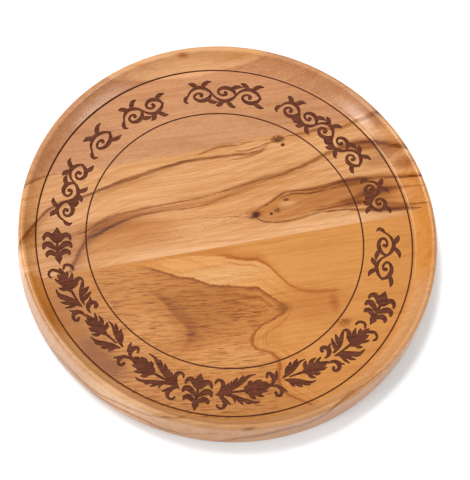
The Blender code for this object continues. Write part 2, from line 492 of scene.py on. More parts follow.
# Strokes of one bend as (share of its length, outwards, width); every other bend is turned over
SCROLL_STROKES = [
    [(0, 0, 0.9), (0.16, 3, 1.3), (0.48, 5, 2.3), (0.8, 3.2, 1.9), (1, 0, 0.9)],
    [(0.94, 1.2, 0.8), (0.92, -1.2, 1.6), (0.76, -3.6, 2.5), (0.5, -4.4, 2.3), (0.29, -3, 1.7),
     (0.25, -0.7, 1.4), (0.4, 0.9, 1.3), (0.56, 0.3, 1.6), (0.54, -1, 2.2)],
    [(0.46, 4.6, 1), (0.36, 6.2, 2.7), (0.25, 7.6, 2.6), (0.13, 8.3, 0.5)],
    [(0.6, 4.6, 1), (0.7, 6.6, 2.6), (0.84, 8.3, 2.2), (0.99, 8.7, 0.5)],
    [(0.74, -3.6, 1.2), (0.9, -5, 2.6), (1.06, -5.8, 2.1), (1.2, -5.6, 0.4)],
]
SCROLL_TIP = [
    (0, 0, 1), (-0.12, -1.4, 2.3), (-0.17, -3.4, 1.9), (-0.08, -4.9, 0.5),
]


def add_scrolls(engraving):
    """Running vine scrolls, each a whole number of bends long."""
    for start, end in SCROLLS:
        length = math.radians(start - end) * BORDER_RADIUS
        bends = max(1, round(length / SCROLL_BEND))
        unit = length / bends
        first = (math.radians(start) - BORDER_MIDDLE) * BORDER_RADIUS
        strokes = [(0, SCROLL_TIP)] + [(bend, nodes) for bend in range(bends) for nodes in SCROLL_STROKES]
        for bend, nodes in strokes:
            flip = 1 if bend % 2 == 0 else -1
            engraving.stroke([
                (first - (bend + share) * unit, SCROLL_RADIUS + flip * side, width)
                for share, side, width in nodes
            ])


def engraving_cutter(engraving):
    """One closed cutter from all the outlines: their union, from above the field to the burnt floor."""
    points, _, faces, _, _, sources = delaunay_2d_cdt(
        engraving.points, [], engraving.faces, 1, CUT_TOLERANCE
    )
    shape = bmesh.new()
    top = FIELD_HEIGHT + ENGRAVING_DEPTH
    verts = [shape.verts.new((point.x, point.y, top)) for point in points]
    for face, source in zip(faces, sources):
        if source:
            shape.faces.new([verts[index] for index in face])
    shape.normal_update()
    bmesh.ops.dissolve_limit(
        shape,
        angle_limit=FLAT_ANGLE,
        verts=shape.verts[:],
        edges=shape.edges[:],
        use_dissolve_boundaries=False,
    )
    bmesh.ops.triangulate(shape, faces=shape.faces[:])
    lifted = bmesh.ops.extrude_face_region(shape, geom=shape.faces[:])
    lowered = [item for item in lifted["geom"] if isinstance(item, bmesh.types.BMVert)]
    bmesh.ops.translate(shape, verts=lowered, vec=(0, 0, -2 * ENGRAVING_DEPTH))
    loose = [vert for vert in shape.verts if not vert.link_faces]
    bmesh.ops.delete(shape, geom=loose)
    bmesh.ops.recalc_face_normals(shape, faces=shape.faces)
    return object_from(shape, "engraving_cutter")


def ring_loop(shape, radius, angle):
    """The groove's section at one direction round the circle, on the surface there."""
    outward = Vector((math.cos(angle), math.sin(angle)))
    loop = []
    for aside, rise in RING_SECTION:
        spot = RING_CENTRE + outward * (radius + aside * RING_WIDTH)
        height = surface_height(spot.length) + rise * RING_DEPTH
        loop.append(shape.verts.new((spot.x, spot.y, height)))
    return loop


def ring_cutter(index, radius):
    """A groove cutter that follows the surface round one engraved circle."""
    shape = bmesh.new()
    loops = [ring_loop(shape, radius, 2 * math.pi * step / TURN_STEPS) for step in range(TURN_STEPS)]
    for here, there in zip(loops, loops[1:] + loops[:1]):
        for corner in range(len(RING_SECTION)):
            after = (corner + 1) % len(RING_SECTION)
            shape.faces.new((here[corner], here[after], there[after], there[corner]))
    bmesh.ops.recalc_face_normals(shape, faces=shape.faces)
    return object_from(shape, f"ring_cutter_{index}")


def add_board(name, side, cutters, wood):
    mesh = turned_mesh(name)
    cut_away(mesh, side, GLUE_THICKNESS / 2)
    mesh.materials.append(wood)
    rough = linked(name + "_rough", mesh)
    for cutter in cutters:
        change = rough.modifiers.new(cutter.name, "BOOLEAN")
        change.operation = "DIFFERENCE"
        change.solver = "EXACT"
        change.material_mode = "TRANSFER"
        change.object = cutter
    board = linked(name, evaluated_mesh(rough))
    bpy.data.objects.remove(rough)
    board.data.set_sharp_from_angle(angle=SHARP_ANGLE)
    return board


def add_glue_film(material):
    mesh = turned_mesh("glue_film")
    cut_away(mesh, 1, -GLUE_THICKNESS / 2)
    cut_away(mesh, -1, -GLUE_THICKNESS / 2)
    mesh.materials.append(material)
    return linked("glue_film", mesh)


# Material arithmetic

class Value:
    """A number in a material that can be written into arithmetic; each operation adds a Math node."""

    def __init__(self, tree, socket):
        self.tree = tree
        self.socket = socket

    def __add__(self, other):
        return calculate(self.tree, "ADD", self, other)

    def __sub__(self, other):
        return calculate(self.tree, "SUBTRACT", self, other)

    def __rsub__(self, other):
        return calculate(self.tree, "SUBTRACT", other, self)

    def __mul__(self, other):
        return calculate(self.tree, "MULTIPLY", self, other)

    def __truediv__(self, other):
        return calculate(self.tree, "DIVIDE", self, other)

    def __neg__(self):
        return calculate(self.tree, "MULTIPLY", self, -1)

    __radd__ = __add__


def feed(tree, socket, source):
    if isinstance(source, Value):
        tree.links.new(source.socket, socket)
    else:
        socket.default_value = source


def calculate(tree, operation, *values):
    node = tree.nodes.new("ShaderNodeMath")
    node.operation = operation
    for socket, value in zip(node.inputs, values):
        feed(tree, socket, value)
    return Value(tree, node.outputs[0])


def ramp(value, low, high, start=0.0, end=1.0):
    """start where the value is below low, end above high, and a smooth step between."""
    tree = value.tree
    node = tree.nodes.new("ShaderNodeMapRange")
    node.interpolation_type = "SMOOTHSTEP"
    for name, number in (("From Min", low), ("From Max", high), ("To Min", start), ("To Max", end)):
        node.inputs[name].default_value = number
    feed(tree, node.inputs["Value"], value)
    return Value(tree, node.outputs["Result"])


def vector_of(tree, x, y, z):
    node = tree.nodes.new("ShaderNodeCombineXYZ")
    for socket, value in zip(node.inputs, (x, y, z)):
        feed(tree, socket, value)
    return Value(tree, node.outputs[0])


def noise(vector, detail=3.0, roughness=0.55):
    """Fractal noise from 0 to 1."""
    node = vector.tree.nodes.new("ShaderNodeTexNoise")
    node.inputs["Scale"].default_value = 1
    node.inputs["Detail"].default_value = detail
    node.inputs["Roughness"].default_value = roughness
    feed(vector.tree, node.inputs["Vector"], vector)
    return Value(vector.tree, node.outputs["Fac"])


def blend(tree, factor, first, second, mode="MIX"):
    node = tree.nodes.new("ShaderNodeMix")
    node.data_type = "RGBA"
    node.blend_type = mode
    feed(tree, node.inputs["Factor"], factor)
    for name, colour in (("A", first), ("B", second)):
        socket = next(item for item in node.inputs if item.name == name and item.type == "RGBA")
        feed(tree, socket, colour if isinstance(colour, Value) else (*colour, 1))
    output = next(item for item in node.outputs if item.type == "RGBA")
    return Value(tree, output)


def highest(first, second):
    return calculate(first.tree, "MAXIMUM", first, second)


def lowest(first, second):
    return calculate(first.tree, "MINIMUM", first, second)


def length_of(first, second):
    return calculate(first.tree, "SQRT", first * first + second * second)


def add_bump(shader, height, strength, distance):
    """Raises the surface by a height; the result is the bent normal."""
    bump = height.tree.nodes.new("ShaderNodeBump")
    bump.inputs["Strength"].default_value = strength
    bump.inputs["Distance"].default_value = distance
    feed(height.tree, bump.inputs["Height"], height)
    height.tree.links.new(bump.outputs["Normal"], shader.inputs["Normal"])
    return Value(height.tree, bump.outputs["Normal"])


REACH = 132.0  # the curves below cover this far each side of the centre, in millimetres
WIDEST = 40.0  # their widths run up to this
NARROWEST = 0.02  # and down to this


def share_of(place):
    """Where a place lies in the curves' reach, from 0 to 1."""
    return (place + REACH) / (2 * REACH)


class Figure:
    """Paints wood colour in grain coordinates, in millimetres: base first, then zones and stains."""

    def __init__(self, tree):
        self.tree = tree
        place = Value(tree, tree.nodes.new("ShaderNodeTexCoord").outputs["Object"])
        split = tree.nodes.new("ShaderNodeSeparateXYZ")
        feed(tree, split.inputs[0], place)
        self.x, self.y, z = (Value(tree, socket) * PER_METRE for socket in split.outputs)
        sine, cosine = math.sin(GRAIN_ANGLE), math.cos(GRAIN_ANGLE)
        self.rise = z - FIELD_HEIGHT * PER_METRE
        self.true_grain = self.x * cosine + self.y * sine
        self.true_across = self.y * cosine - self.x * sine
        slanted_grain = self.true_grain + self.rise * GRAIN_SLANT[0]
        slanted_across = self.true_across + self.rise * GRAIN_SLANT[1]
        drift = noise(vector_of(tree, slanted_grain / 20, slanted_across / 7, 0.3)) - 0.5
        fray = noise(vector_of(tree, slanted_grain / 6, slanted_across / 0.9, 0.7)) - 0.5
        self.grain = slanted_grain
        self.smooth = slanted_across + drift * 2.4
        self.across = self.smooth + fray * 1.9
        self.colour = None

    def radius(self):
        """Distance from the turned centre."""
        return length_of(self.x, self.y)

    def stretched(self, length, width, seed=0.0, detail=3.0, roughness=0.55, tilt=0.0):
        """Noise drawn out along the fibres: length and width are the size of its patches."""
        across = self.true_across + self.true_grain * tilt
        vector = vector_of(
            self.tree,
            self.true_grain / length + seed,
            across / width + seed,
            self.rise / (width * 2.5) + seed,
        )
        return noise(vector, detail, roughness)

    def curves(self, along, *channels):
        """Smooth curves over one coordinate, each through a list of (place, value from 0 to 1)."""
        node = self.tree.nodes.new("ShaderNodeRGBCurve")
        gather = self.tree.nodes.new("ShaderNodeCombineColor")
        share = share_of(along)
        for socket in gather.inputs[:3]:
            feed(self.tree, socket, share)
        self.tree.links.new(gather.outputs[0], node.inputs["Color"])
        node.mapping.extend = "HORIZONTAL"
        for curve, points in zip(node.mapping.curves, channels):
            while len(curve.points) < len(points):
                curve.points.new(0.5, 0.5)
            for handle, (place, value) in zip(curve.points, sorted(points)):
                handle.location = (share_of(place), value)
                handle.handle_type = "AUTO_CLAMPED"
        node.mapping.update()
        split = self.tree.nodes.new("ShaderNodeSeparateColor")
        self.tree.links.new(node.outputs["Color"], split.inputs[0])
        return [Value(self.tree, socket) for socket in split.outputs][:len(channels)]

    def line_of(self, points, along=None):
        """A line through given points, as a height over the grain coordinate, or over another one."""
        shares = [(place, share_of(value)) for place, value in points]
        along = self.grain if along is None else along
        return self.curves(along, shares)[0] * (2 * REACH) - REACH

    def streak(self, points, strands=0.6):
        """A dark band made of strands, through (grain, across, width above, width below) points.

        A point with only one width has it on both sides.
        """
        centre, above, below = self.curves(
            self.grain,
            [(point[0], share_of(point[1])) for point in points],
            [(point[0], point[2] / WIDEST) for point in points],
            [(point[0], point[-1] / WIDEST) for point in points],
        )
        offset = self.across - (centre * (2 * REACH) - REACH)
        upper = offset / highest(above * WIDEST, NARROWEST)
        lower = -offset / highest(below * WIDEST, NARROWEST)
        band = ramp(highest(upper, lower), 0.1, 1, 1, 0)
        lines = noise(vector_of(self.tree, self.grain / 24 + points[1][1], offset / 0.8, 0.5), 2)
        return band * ramp(lines, 0.36, 0.58, 1 - strands, 1)

    def growth(self, offset, length, width, seed):
        """Faint lines that run beside a curve; offset is the distance from it."""
        return noise(vector_of(self.tree, self.grain / length + seed, offset / width, seed), 3, 0.6)

    def spot(self, grain, across, length, width, blur=0.5):
        """An oval patch, fading over its outer part."""
        along = (self.grain - grain) / length
        aside = (self.across - across) / width
        return ramp(length_of(along, aside), 1 - blur, 1 + blur, 1, 0)

    def base(self, colour):
        self.colour = blend(self.tree, 0.0, colour, colour)

    def zone(self, mask, colour):
        self.colour = blend(self.tree, mask, self.colour, colour)

    def stain(self, mask, tint):
        self.colour = blend(self.tree, mask, self.colour, tint, "MULTIPLY")

    def zones(self, patches):
        """Patches as (grain, across, length, width, blur, strength, colour)."""
        for *place, strength, colour in patches:
            self.zone(self.spot(*place) * strength, colour)

    def stains(self, patches):
        """Patches as (grain, across, length, width, blur, strength, tint)."""
        for *place, strength, tint in patches:
            self.stain(self.spot(*place) * strength, tint)

    def streaks(self, lines, strands, tint):
        for points in lines:
            self.stain(self.streak(points, strands), tint)


# Colours of the wood under the studio light
SHADE = 0.73  # from those colours to the wood's own
VEIL = (0.0, 0.012, 0.024)  # what the lacquer's gloss adds to them
HONEY = (0.80, 0.415, 0.195)
DEEP_HONEY = (0.72, 0.335, 0.125)
ORANGE_HONEY = (0.60, 0.24, 0.075)
WARM_HONEY = (0.76, 0.365, 0.15)
LIP_HONEY = (0.74, 0.35, 0.14)
RIM_HONEY = (0.72, 0.315, 0.105)
PLAIN_HONEY = (0.72, 0.305, 0.088)
BANDED_HONEY = (0.66, 0.265, 0.073)
RED_HONEY = (0.60, 0.222, 0.061)
YELLOW_HONEY = (0.79, 0.37, 0.125)
BRIGHT_HONEY = (0.83, 0.45, 0.20)
DULL_HONEY = (0.74, 0.33, 0.115)
PALE = (0.85, 0.46, 0.235)
PINKISH = (0.65, 0.31, 0.158)
SAPWOOD = (0.82, 0.43, 0.215)
EYE = (0.61, 0.24, 0.078)
DARK_EYE = (0.50, 0.195, 0.07)
HEART = (0.64, 0.26, 0.075)
DARK_HEART = (0.49, 0.18, 0.047)
YELLOW_HEART = (0.73, 0.33, 0.105)
PALE_HEART = (0.74, 0.34, 0.12)
RED_HEART = (0.60, 0.25, 0.07)
# Painted light on the front board's rim, below: a lightened near inner face, painted shade on the outer
# side, and a painted reflection of the white floor on the near left side
LIT_COVE_HONEY = (0.74, 0.40, 0.205)
SHADED_SIDE_BROWN = (0.53, 0.27, 0.135)
FLOOR_REFLECTION_PALE = (0.82, 0.48, 0.26)
BURNT = (0.125, 0.037, 0.020)
BURNT_DARK = (0.055, 0.015, 0.006)
BURNT_WARM = (0.15, 0.05, 0.025)
GLUE = (0.30, 0.13, 0.045)
GLUE_PALE = (0.42, 0.20, 0.08)

# Tints that darken it
STREAK = (0.69, 0.55, 0.45)
DARK_STREAK = (0.36, 0.24, 0.19)
SOFT_STREAK = (0.70, 0.55, 0.46)
STRAND = (0.5, 0.36, 0.27)
LOWER_STRAND = (0.48, 0.38, 0.33)
EYE_STRAND = (0.52, 0.37, 0.31)
WALL_STRAND = (0.54, 0.39, 0.31)
FAN = (0.66, 0.60, 0.56)
GREY_BROWN = (0.72, 0.64, 0.58)
PALE_BROWN = (0.76, 0.66, 0.58)
SOFT_BROWN = (0.84, 0.74, 0.64)
PALE_GOLD = (0.84, 0.66, 0.46)
GOLD = (0.68, 0.49, 0.31)
GOLD_ECHO = (0.70, 0.50, 0.30)
GOLD_SHADE = (0.78, 0.62, 0.47)
DARK_END = (0.52, 0.38, 0.33)
KNOT = (0.16, 0.08, 0.06)
SOFT_KNOT = (0.3, 0.2, 0.17)
BROWN_KNOT = (0.35, 0.24, 0.12)
RIGHT_KNOT = (0.28, 0.16, 0.11)
LIP_KNOT = (0.62, 0.44, 0.32)
WALL_KNOT = (0.5, 0.36, 0.3)
GROWTH_LINE = (0.87, 0.78, 0.68)
PINK_FLECK = (0.80, 0.72, 0.66)
PINK_BAND = (0.84, 0.79, 0.80)
PINK_END_LINE = (0.5, 0.35, 0.27)
CONTOUR = (0.79, 0.62, 0.45)
HEART_CONTOUR = (0.74, 0.58, 0.42)
HEART_SPINE = (0.66, 0.52, 0.50)
HEART_SIDE = (0.66, 0.49, 0.38)
HEART_EDGE = (0.50, 0.34, 0.24)
HEART_LOWER_EDGE = (0.62, 0.43, 0.27)
HEART_POINT = (0.40, 0.25, 0.23)
POINT_BROWN = (0.62, 0.44, 0.34)
POINT_ECHO_BROWN = (0.74, 0.55, 0.38)
SMALL_SHADE = (0.62, 0.42, 0.32)
EDGE_BROWN = (0.70, 0.50, 0.36)
FLECK = (0.46, 0.31, 0.19)
BROAD_FLECK = (0.66, 0.50, 0.36)
FAINT_FLECK = (0.72, 0.56, 0.40)
CRESCENT = (0.47, 0.345, 0.27)
LEFT_SHADE = (0.62, 0.50, 0.44)
FIBRE = (0.86, 0.79, 0.71)
BAND = (0.88, 0.82, 0.75)
PORE = (0.62, 0.50, 0.42)
MOTTLE = (0.90, 0.85, 0.79)

# Lines of the rear board as (grain, across)
PINK_EDGE = [
    (-132, 44), (-118, 50), (-108, 55), (-100, 58.5), (-70, 58), (-50, 58.6), (-30, 59.6), (0, 60.6),
    (20, 62.8), (45, 64), (60, 63.6), (75, 64.5), (85, 66), (95, 69), (110, 73), (132, 78),
]
SAP_EDGE = [
    (-132, 134), (-60, 128), (-50, 117), (-40, 114.5), (-20, 112.6), (0, 112), (20, 114), (34, 115.2),
    (42, 117), (50, 121), (60, 130), (132, 134),
]
EYE_TOP = [
    (-132, -20), (14, 8), (20, 15), (26, 19), (33, 22), (40, 24.5), (52, 24.5), (70, 26), (90, 27),
    (132, 26),
]
EYE_BOTTOM = [
    (-132, 20), (14, 16), (20, 12), (25, 8), (32, 6), (45, 6.5), (60, 8.5), (80, 8), (100, 5), (132, 4),
]
FLOW = [
    (-132, 8), (-100, 12), (-80, 18), (-60, 25), (-40, 27), (-20, 27), (0, 29), (20, 33), (40, 38),
    (60, 43), (80, 48), (100, 50), (132, 46),
]

# Streaks of the rear board
PINK_END = [
    (-132, 44, 1), (-119, 51, 1.5), (-106, 56.4, 1.3), (-98, 58.4, 0.7), (-80, 58.6, 0), (132, 60, 0),
]
SEAM_WISP = [
    (-132, 0, 0), (-24, 0.5, 0.4), (-10, -0.5, 1.1), (2, -1.2, 1.6), (12, 0.2, 1.8, 1.6), (24, 1.4, 1.8),
    (34, 1, 1.6), (50, 0.6, 0.8), (132, 0, 0),
]
UPPER_BAND = [
    (-132, 6, 3, 4), (-124, 14, 4), (-116, 23, 5), (-108, 31, 4, 6), (-98, 38, 2, 6), (-90, 39.6, 1.6, 6),
    (-74, 43, 1.8, 7), (-60, 47, 2, 7), (-45, 50, 2.2, 7), (-30, 53, 2, 6), (-10, 55.3, 1.6, 4),
    (10, 55.5, 1.4, 3), (26, 54.6, 1.4, 3), (34, 56.4, 1.4, 3), (40, 60, 0.4, 0.6), (50, 61, 0),
    (132, 62, 0),
]
UPPER_LINE = [
    (-132, 8, 2), (-124, 16, 2), (-116, 25, 2.2, 2.4), (-108, 32.6, 2, 2.2), (-98, 38, 1.3, 1.8),
    (-90, 39.6, 1.2, 1.6), (-74, 43, 1.5, 2), (-60, 47, 1.7, 2.2), (-45, 50, 1.9, 2.4),
    (-30, 53, 1.8, 2.2), (-10, 55.2, 1.3, 1.5), (10, 55.3, 1.1, 1.3), (22, 54.3, 1), (32, 55.2, 0.8),
    (38, 59, 0.3), (44, 60, 0), (132, 60, 0),
]
UPPER_STRANDS = [
    [(-132, 57, 0), (-12, 57, 0), (-6, 58.2, 0.8), (0, 60, 1.7, 1.4), (8, 61.2, 1.7, 1.4),
     (16, 61, 1.3, 1), (19, 61, 0.3), (25, 62.3, 0.8, 0.7), (32, 62.6, 0), (132, 62, 0)],
    [(-132, 56, 0), (14, 58.6, 0.1), (20, 56.8, 0.9), (30, 57.6, 1), (37, 59.8, 0.9), (42, 61, 0.3),
     (132, 61, 0)],
    [(-132, 51, 0), (10, 52, 0.2), (20, 52.4, 0.8), (30, 53.6, 0.9), (36, 55.4, 0.4), (42, 57, 0),
     (132, 57, 0)],
    [(-132, 62, 0), (46, 62.5, 0.3), (54, 62.7, 1.2), (64, 63.2, 2), (72, 64.2, 2.2), (82, 63.4, 2, 2.4),
     (94, 66, 2.4, 2.8), (108, 70, 2.4, 3), (120, 73, 2, 3), (132, 76, 1)],
]
LOWER_BAND = [
    (-132, -20, 1), (-99, -8, 4), (-94, 0, 5), (-89, 8, 5, 6), (-84, 15, 4, 6), (-76, 19, 5, 6),
    (-66, 23, 5, 6), (-52, 25.2, 5), (-38, 26.2, 5, 4.4), (-24, 26.6, 6, 5), (-8, 27.4, 6, 5.4),
    (6, 30, 6), (20, 33.2, 5, 6), (34, 36.4, 4, 5), (48, 40, 4.6, 6), (60, 43, 4, 7), (70, 46.4, 3.4, 7),
    (82, 50, 4, 7), (95, 52, 5, 7), (110, 49, 6), (132, 42, 4),
]
LOWER_LINES = [
    [(-132, -22, 0), (-96, -2, 0.1), (-91, 5, 0.7, 0.9), (-84, 13, 1.8, 2), (-76, 15.8, 2.4, 2),
     (-68, 18.8, 2.2, 1.8), (-58, 21.8, 1.9, 1.5), (-46, 23.6, 1.5, 1.3), (-34, 24.2, 1),
     (-18, 23.8, 1.1, 1), (-6, 25, 0.9), (6, 28, 0.6), (20, 31, 0), (132, 40, 0)],
    [(-132, 10, 0), (-84, 18.5, 1), (-76, 22, 1.4, 1.5), (-68, 25, 1.6, 1.8), (-56, 27, 1.5),
     (-42, 27.7, 1.3), (-30, 28.2, 0.8), (-16, 29, 0.4), (0, 31, 0.5), (12, 33.2, 1.3),
     (22, 35.2, 1.6, 1.5), (31, 36.5, 2.3, 2), (38, 37.4, 1.5), (50, 39.8, 1.7, 1.6), (57, 41.4, 2.1, 1.8),
     (64, 44.2, 1.6, 1.4), (72, 47.4, 1.6), (84, 50.5, 2), (96, 52, 2.4), (108, 49.6, 2.6),
     (118, 45, 2.4, 2), (132, 40, 1)],
]
FAN_BAND = [
    (-132, -20, 0), (-100, -7, 1, 2), (-95, -2, 4), (-89, 5, 6, 5), (-82, 12, 5), (-72, 18, 3, 3.4),
    (-62, 21, 1.4), (-54, 23, 0), (132, 60, 0),
]
LOWER_GLOW = [
    (-132, 10, 0), (-10, 23, 0.6), (10, 27.6, 1.5), (30, 32.4, 1.9, 1.8), (45, 34.2, 1.8, 2),
    (60, 34.6, 1.8, 2), (75, 37.4, 1.8), (90, 41, 1.4), (132, 50, 0.8),
]
EYE_BAND = [
    (-132, 0, 0), (18, 14, 0.3), (24, 17.8, 1.4, 1.6), (30, 20.2, 1.6, 2.2), (35, 23.2, 2.2, 3.4),
    (42, 25.2, 2, 4.6), (52, 25, 2.2, 5), (62, 25.2, 2.2, 5), (72, 26.4, 2.4, 4.4), (84, 27.4, 2.6, 4),
    (98, 27.4, 2.4, 4), (112, 26, 2, 4), (132, 24, 1, 2),
]
EYE_LINES = [
    [(-132, 0, 0), (24, 17.4, 0.2), (33, 21.4, 1.1), (38, 24.2, 1.1), (46, 25.4, 1), (54, 25, 1.2, 1.3),
     (64, 25.3, 2, 2.2), (74, 26.6, 2.2), (84, 27.4, 1.6, 1.8), (96, 26.6, 1.6, 1.8), (110, 25, 1.4),
     (132, 23, 0.5)],
    [(-132, 0, 0), (34, 20.6, 0.2), (40, 22.8, 0.8), (48, 23.2, 1), (56, 22.2, 1.1), (64, 22.6, 0.9),
     (70, 24, 0.3), (132, 24, 0)],
    [(-132, 20, 0), (18, 12, 0.4), (24, 8.2, 1.4, 1.6), (32, 6.2, 1.3, 1.4), (44, 6.4, 1.3, 1.4),
     (54, 7.8, 1.3), (62, 8.8, 1.2, 1.3), (72, 8.4, 1, 1.1), (86, 6.4, 1.7, 1.9), (100, 4.4, 2.4, 2.2),
     (114, 3, 2.2, 1.8), (122, 2, 0.6), (132, 1, 0)],
]
EYE_STRANDS = [
    [(-132, 10, 0), (54, 9.8, 0.2), (62, 10.4, 0.9), (72, 11, 0.9), (80, 11.6, 1.5), (92, 11.6, 1.9),
     (104, 9, 1.8), (114, 6, 1), (132, 5, 0)],
    [(-132, 10, 0), (66, 12.6, 0.2), (74, 13.4, 1.1), (82, 14.2, 2.4, 2), (92, 17, 3.2, 3), (104, 18.4, 3),
     (114, 18, 1.8), (132, 17, 0)],
]

# Patches of the rear board, as (grain, across, length, width, blur, strength, colour or tint)
REAR_GROUND = [
    (-62, 12, 32, 10, 0.6, 0.85, ORANGE_HONEY),
    (10, 12, 26, 10, 0.8, 0.6, WARM_HONEY),
]
LOWER_SHADES = [
    (-77, 18, 16, 5, 0.7, 0.5, GREY_BROWN),
    (-66, 20.5, 20, 4.6, 0.7, 0.8, PALE_BROWN),
]
# Where they gather, as (grain, across, length, width, strength)
DARK_ENDS = [
    (96, 49, 12, 3.6, 0.8), (112, 44, 7, 4, 0.8), (119, 34, 6, 4, 0.8), (84, 26, 10, 3.2, 0.9),
    (80, 12, 7, 3.2, 0.8), (97, 17, 11, 4, 0.85), (106, 5, 13, 2.6, 0.9), (102, 38, 9, 4, 0.5),
    (108, 67, 5, 6, 0.7), (-89, 8, 9, 10, 0.2), (-80, 17, 12, 5, 0.1), (-95, -2, 6, 8, 0.3),
    (-103, 14, 9, 10, 0.35), (-118, 22, 5, 9, 0.5),
]
REAR_KNOTS = [
    (20, 13.4, 4.2, 4, 0.8, 0.9, STREAK),
    (20.4, 13.2, 2.6, 1.9, 0.6, 1, KNOT),
    (18.4, 11.6, 2.4, 1, 0.6, 0.8, SOFT_KNOT),
    (29.8, 12.3, 1, 1, 0.4, 1, KNOT),
    (40.8, 20.3, 1.8, 0.8, 0.5, 1, BROWN_KNOT),
    (44.2, 61.6, 4.4, 2.5, 0.5, 0.8, STREAK),
    (46.6, 57.4, 1.3, 1.2, 0.3, 1, KNOT),
]
SEAM_SLOPE = 0.0314  # how fast the glue line crosses the fibres


def paint_rear(wood):
    """Pinkish sapwood at the rear, and honey wood with dark streaks and an eye nearer the glue line."""
    wood.base(HONEY)
    paint_rear_ground(wood)
    paint_pinkish_side(wood)
    paint_beside_seam(wood)
    paint_upper_streak(wood)
    paint_lower_streak(wood)
    paint_eye_rim(wood)
    paint_rear_knots(wood)


def paint_rear_ground(wood):
    """Growth lines that run with the streaks, and the eye's darker inside."""
    flow = wood.smooth - wood.line_of(FLOW)
    wood.zone(ramp(wood.growth(flow, 60, 7, 5.2), 0.44, 0.62) * 0.55, DEEP_HONEY)
    wood.zones(REAR_GROUND)
    under_top = wood.line_of(EYE_TOP) - wood.across
    over_bottom = wood.across - wood.line_of(EYE_BOTTOM)
    inside = ramp(under_top, 0, 2.5) * ramp(over_bottom, 0, 2.5)
    wood.zone(inside * 0.85, EYE)
    wood.zone(inside * wood.spot(76, 17, 28, 9, 0.6) * 0.7, DARK_EYE)
    wood.zone(wood.spot(41, 17.6, 5, 2, 0.6) * 0.7, PALE)
    wood.stain(ramp(wood.growth(flow, 75, 1.5, 3.3), 0.42, 0.62) * 0.75, GROWTH_LINE)
    wood.stain(ramp(wood.growth(flow, 40, 0.7, 8.4), 0.46, 0.66) * 0.5, SOFT_BROWN)


def paint_pinkish_side(wood):
    """The pinkish zone, and the sapwood and small knot under the rear lip."""
    pink = ramp(wood.across - wood.line_of(PINK_EDGE), -0.4, 1.2)
    wood.zone(pink, PINKISH)
    wood.stain(pink * ramp(wood.stretched(3, 0.5, 7, 2), 0.50, 0.64) * 0.6, PINK_FLECK)
    wood.stain(pink * ramp(wood.stretched(40, 10, 9), 0.46, 0.66) * 0.6, PINK_BAND)
    wood.zone(ramp(wood.across - wood.line_of(SAP_EDGE), -1, 1.5) * 0.95, SAPWOOD)
    wood.stain(wood.spot(-3, 127, 3, 1.6, 0.9), LIP_KNOT)
    wood.zone(wood.spot(33, 122, 14, 3, 0.6) * 0.6, LIP_HONEY)
    wood.stain(wood.streak(PINK_END, 0.3), PINK_END_LINE)
    wood.zone(wood.spot(121, 8, 11, 24, 0.5) * 0.9, RIM_HONEY)


def paint_beside_seam(wood):
    """A pale strip beside the glue line, with a soft brown wisp."""
    distance = wood.true_across - wood.true_grain * SEAM_SLOPE - SEAM_OFFSET * PER_METRE
    span = ramp(wood.grain, -74, -50) * ramp(wood.grain, 80, 105, 1, 0)
    wood.zone(ramp(distance, 4.5, 8, 1, 0) * span * 0.75, PALE)
    wood.stain(wood.streak(SEAM_WISP) * 0.8, SOFT_BROWN)


def paint_upper_streak(wood):
    """A dark line with a soft brown side, which splits into strands at its right end."""
    wood.stain(wood.streak(UPPER_BAND) * 0.85, STREAK)
    wood.stain(wood.streak(UPPER_LINE, 0.45), DARK_STREAK)
    wood.streaks(UPPER_STRANDS, 0.4, STRAND)


def paint_lower_streak(wood):
    """Two strands that join at the middle, over a soft brown band that fans out at its left end."""
    wood.stain(wood.streak(LOWER_BAND), SOFT_STREAK)
    wood.stains(LOWER_SHADES)
    wood.stain(wood.streak(FAN_BAND, 0.8), FAN)
    wood.streaks(LOWER_LINES, 0.5, LOWER_STRAND)
    wood.stain(wood.streak(LOWER_GLOW) * 0.7, PALE_GOLD)


def paint_eye_rim(wood):
    """The dark rim of the eye, its strands, and where all the streaks run together near the lip."""
    wood.stain(wood.streak(EYE_BAND), STREAK)
    wood.streaks(EYE_LINES, 0.4, DARK_STREAK)
    wood.streaks(EYE_STRANDS, 0.7, EYE_STRAND)
    for *place, strength in DARK_ENDS:
        wood.stain(wood.spot(*place, 0.7) * strength, DARK_END)


def paint_rear_knots(wood):
    wood.stains(REAR_KNOTS)
    wood.stain(wood.spot(33.8, 14, 1.9, 1.5, 0.7) * ramp(wood.stretched(0.9, 0.7, 4), 0.38, 0.52), KNOT)
    wood.stain(wood.spot(44.2, 61.6, 3.8, 2, 0.5) * ramp(wood.stretched(1.8, 0.8, 6.2), 0.40, 0.50), KNOT)


# Lines of the front board as (grain, across)
HEART_TOP = [
    (-132, -2), (-100, -4), (-60, -10), (-50, -12.4), (-42, -16), (-36, -19.6), (-28, -22), (-22, -25.2),
    (-17, -28), (-10, -30), (0, -32), (6, -33.8), (11, -34.2), (14, -37), (18, -41), (22, -45.4),
    (26, -48.6), (29, -52), (132, -80),
]
GOLDEN_LINE = [
    (-132, -2), (-60, -4), (-30, -7), (-10, -10), (0, -12.6), (5, -14.4), (10, -15.8), (14, -16.2),
    (18, -18.6), (21, -21.6), (24, -26.4), (28, -32), (31, -35.8), (35, -38.8), (39, -40), (50, -41.6),
    (60, -42.6), (132, -44),
]
